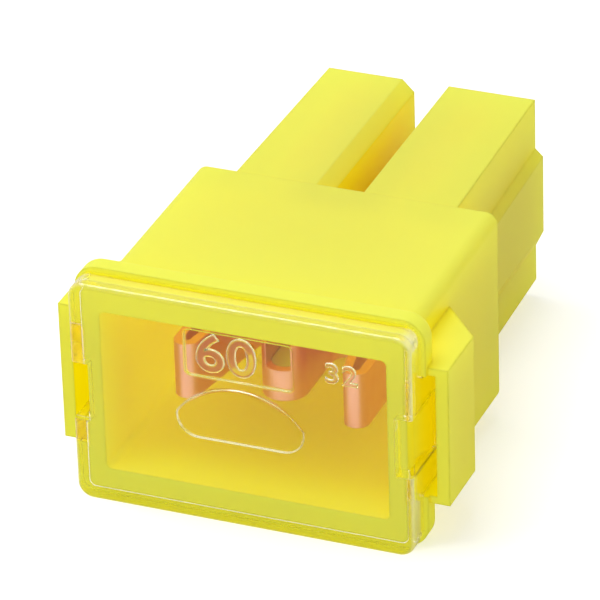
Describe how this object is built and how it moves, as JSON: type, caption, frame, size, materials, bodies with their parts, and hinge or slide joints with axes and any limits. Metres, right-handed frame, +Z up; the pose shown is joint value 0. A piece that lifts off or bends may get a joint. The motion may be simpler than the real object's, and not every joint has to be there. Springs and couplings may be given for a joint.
{
  "type": "fusible link",
  "caption": "Push-in female fusible link with a yellow moulded housing, a clear cover that hooks over its front and a folded copper strip between blade sockets.",
  "frame": {"origin": "bottom centre of the whole part, on the surface that it lies on", "axes": "+X across the clear face, +Y from the clear face to the leg tips, +Z up through the broad side"},
  "size_m": [0.0202, 0.0264, 0.0125],
  "materials": {
    "housing": "yellow moulded plastic, satin gloss, slightly translucent",
    "cover": "clear moulded plastic, glossy",
    "copper": "bare rolled copper alloy, satin",
    "tin": "dull tin"
  },
  "bodies": {
    "root": {"housing": "housing", "cover": "cover", "fuse_element": "copper", "tin_slug": "tin"}
  },
  "joints": []
}
